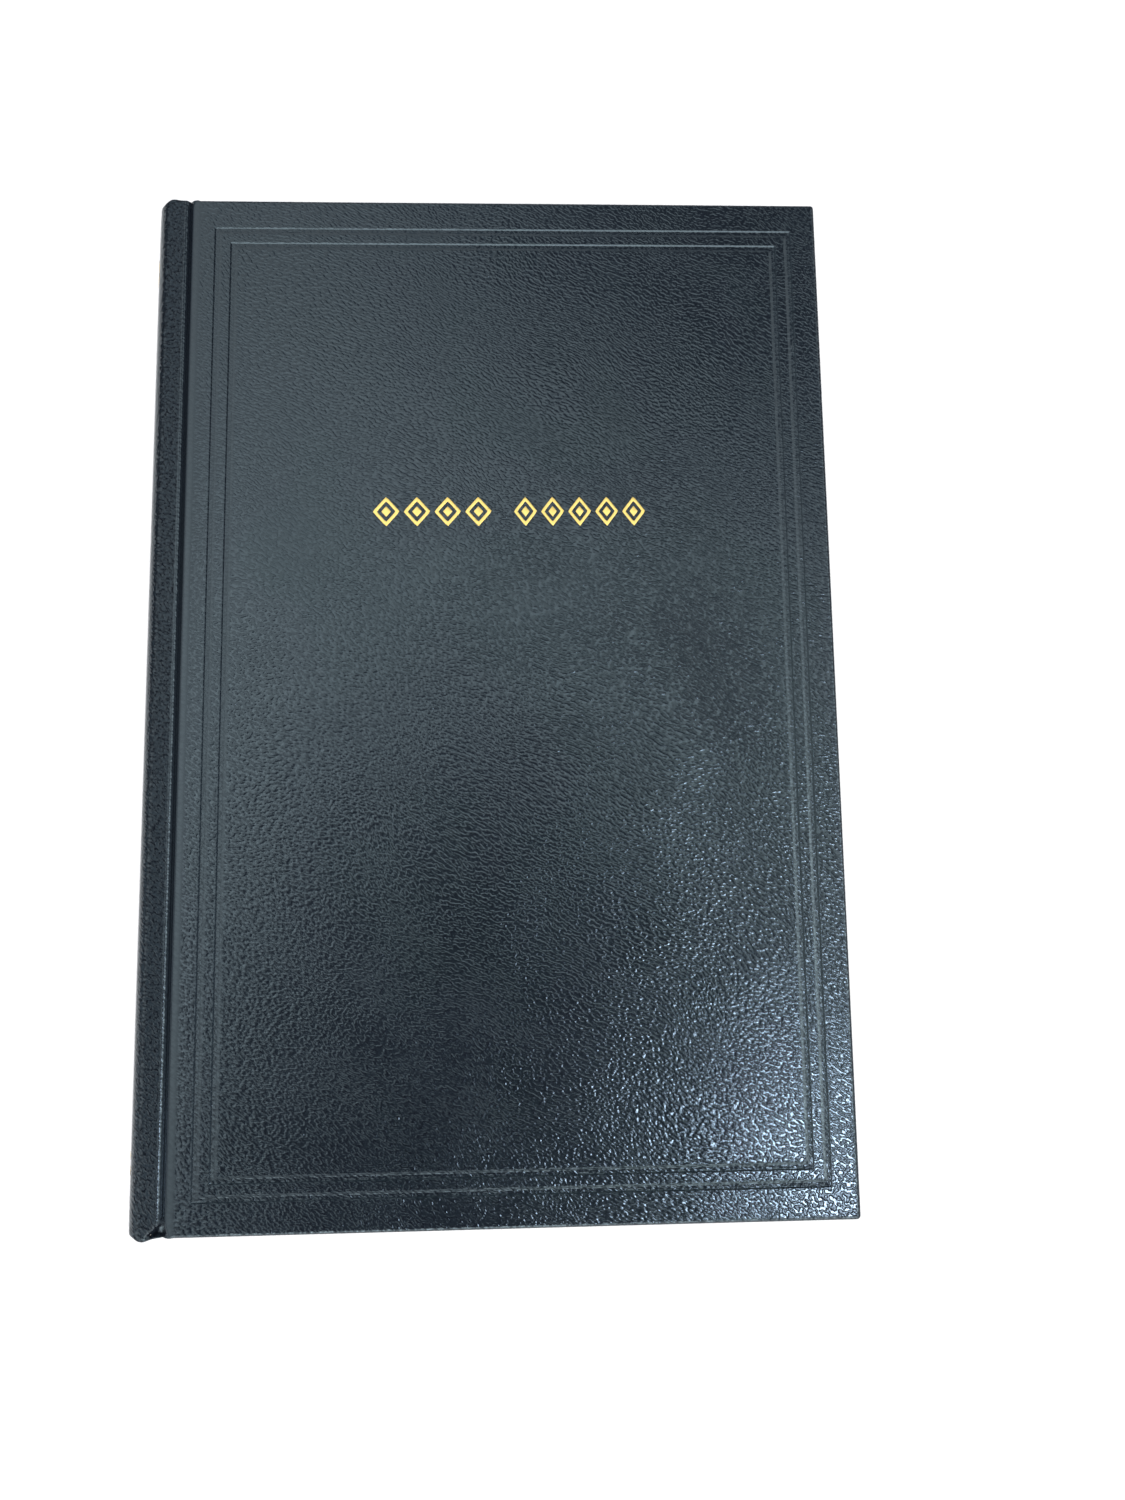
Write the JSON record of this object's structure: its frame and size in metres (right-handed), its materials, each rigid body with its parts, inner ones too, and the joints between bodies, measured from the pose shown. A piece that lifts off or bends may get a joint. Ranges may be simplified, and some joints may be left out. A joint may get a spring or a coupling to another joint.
{
  "type": "case-bound bible",
  "caption": "Case-bound bible with hinged stiff covers, a rounded spine, French grooves, sewn sections and turning leaves.",
  "frame": {"origin": "centre of the bounding box's underside, on the back cover's outer face", "axes": "+X towards the fore-edge, +Y towards the head, +Z out of the front cover"},
  "size_m": [0.148, 0.216, 0.038],
  "materials": {
    "covering": "black imitation leather, fine pebbled grain, satin",
    "board": "grey binder's board",
    "spine_card": "thin card",
    "gold_foil": "stamped gold foil",
    "kraft_paper": "brown kraft paper",
    "mull_cloth": "open gauze",
    "glue": "dried white glue",
    "thread": "linen thread",
    "headband_cloth": "woven black and white stripes",
    "endpaper": "smooth off-white",
    "bible_paper": "thin, matt"
  },
  "bodies": {
    "text_block": {"spine_leather": "covering", "spine_inlay": "spine_card", "spine_ornament": "gold_foil", "spine_kraft_liner": "kraft_paper", "spine_mull": "mull_cloth", "spine_glue": "glue", "sewing_thread": "thread", "headband_head": "headband_cloth", "headband_tail": "headband_cloth", "front_outer_section": "bible_paper", "back_outer_section": "bible_paper", "section_01": "bible_paper", "section_02": "bible_paper", "section_03": "bible_paper", "section_04": "bible_paper", "section_05": "bible_paper", "section_06": "bible_paper", "section_07": "bible_paper", "section_08": "bible_paper", "section_09": "bible_paper", "section_10": "bible_paper", "section_11": "bible_paper", "section_12": "bible_paper", "section_13": "bible_paper", "section_14": "bible_paper", "section_15": "bible_paper", "section_16": "bible_paper"},
    "front_cover": {"front_board": "board", "front_cover_leather": "covering", "front_pastedown": "endpaper", "front_mull_flange": "mull_cloth", "front_ornament": "gold_foil"},
    "back_cover": {"back_board": "board", "back_cover_leather": "covering", "back_pastedown": "endpaper", "back_mull_flange": "mull_cloth"},
    "front_flyleaf": {"front_flyleaf": "endpaper"},
    "front_leaf_1": {"front_leaf_1": "bible_paper"},
    "front_leaf_2": {"front_leaf_2": "bible_paper"},
    "front_leaf_3": {"front_leaf_3": "bible_paper"},
    "front_leaf_4": {"front_leaf_4": "bible_paper"},
    "front_leaf_5": {"front_leaf_5": "bible_paper"},
    "back_flyleaf": {"back_flyleaf": "endpaper"},
    "back_leaf_1": {"back_leaf_1": "bible_paper"},
    "back_leaf_2": {"back_leaf_2": "bible_paper"},
    "back_leaf_3": {"back_leaf_3": "bible_paper"}
  },
  "joints": [
    {"name": "front_cover_hinge", "type": "hinge", "parent": "text_block", "child": "front_cover", "pos_m": [-0.0625, 0, 0.0382], "axis": [0, -1, 0], "range_deg": [0, 195]},
    {"name": "back_cover_hinge", "type": "hinge", "parent": "text_block", "child": "back_cover", "pos_m": [-0.0625, 0, -0.0002], "axis": [0, 1, 0], "range_deg": [0, 180]},
    {"name": "front_flyleaf_turn", "type": "hinge", "parent": "text_block", "child": "front_flyleaf", "pos_m": [-0.057, 0, 0.03445], "axis": [0, -1, 0], "range_deg": [0, 128]},
    {"name": "front_leaf_1_turn", "type": "hinge", "parent": "text_block", "child": "front_leaf_1", "pos_m": [-0.056, 0, 0.0342], "axis": [0, -1, 0], "range_deg": [0, 112]},
    {"name": "front_leaf_2_turn", "type": "hinge", "parent": "text_block", "child": "front_leaf_2", "pos_m": [-0.055, 0, 0.03395], "axis": [0, -1, 0], "range_deg": [0, 95]},
    {"name": "front_leaf_3_turn", "type": "hinge", "parent": "text_block", "child": "front_leaf_3", "pos_m": [-0.054, 0, 0.0337], "axis": [0, -1, 0], "range_deg": [0, 72]},
    {"name": "front_leaf_4_turn", "type": "hinge", "parent": "text_block", "child": "front_leaf_4", "pos_m": [-0.053, 0, 0.03345], "axis": [0, -1, 0], "range_deg": [0, 49]},
    {"name": "front_leaf_5_turn", "type": "hinge", "parent": "text_block", "child": "front_leaf_5", "pos_m": [-0.052, 0, 0.0332], "axis": [0, -1, 0], "range_deg": [0, 26]},
    {"name": "back_flyleaf_turn", "type": "hinge", "parent": "text_block", "child": "back_flyleaf", "pos_m": [-0.057, 0, 0.00355], "axis": [0, 1, 0], "range_deg": [0, 118]},
    {"name": "back_leaf_1_turn", "type": "hinge", "parent": "text_block", "child": "back_leaf_1", "pos_m": [-0.056, 0, 0.0038], "axis": [0, 1, 0], "range_deg": [0, 92]},
    {"name": "back_leaf_2_turn", "type": "hinge", "parent": "text_block", "child": "back_leaf_2", "pos_m": [-0.055, 0, 0.00405], "axis": [0, 1, 0], "range_deg": [0, 62]},
    {"name": "back_leaf_3_turn", "type": "hinge", "parent": "text_block", "child": "back_leaf_3", "pos_m": [-0.054, 0, 0.0043], "axis": [0, 1, 0], "range_deg": [0, 32]}
  ],
  "couplings": [
    {"joint": "front_flyleaf_turn", "follows": "front_cover_hinge", "ratio": 0.6564},
    {"joint": "front_leaf_1_turn", "follows": "front_cover_hinge", "ratio": 0.5743},
    {"joint": "front_leaf_2_turn", "follows": "front_cover_hinge", "ratio": 0.4871},
    {"joint": "front_leaf_3_turn", "follows": "front_cover_hinge", "ratio": 0.3692},
    {"joint": "front_leaf_4_turn", "follows": "front_cover_hinge", "ratio": 0.2512},
    {"joint": "front_leaf_5_turn", "follows": "front_cover_hinge", "ratio": 0.1333},
    {"joint": "back_flyleaf_turn", "follows": "back_cover_hinge", "ratio": 0.6555},
    {"joint": "back_leaf_1_turn", "follows": "back_cover_hinge", "ratio": 0.5111},
    {"joint": "back_leaf_2_turn", "follows": "back_cover_hinge", "ratio": 0.3444},
    {"joint": "back_leaf_3_turn", "follows": "back_cover_hinge", "ratio": 0.1777}
  ]
}
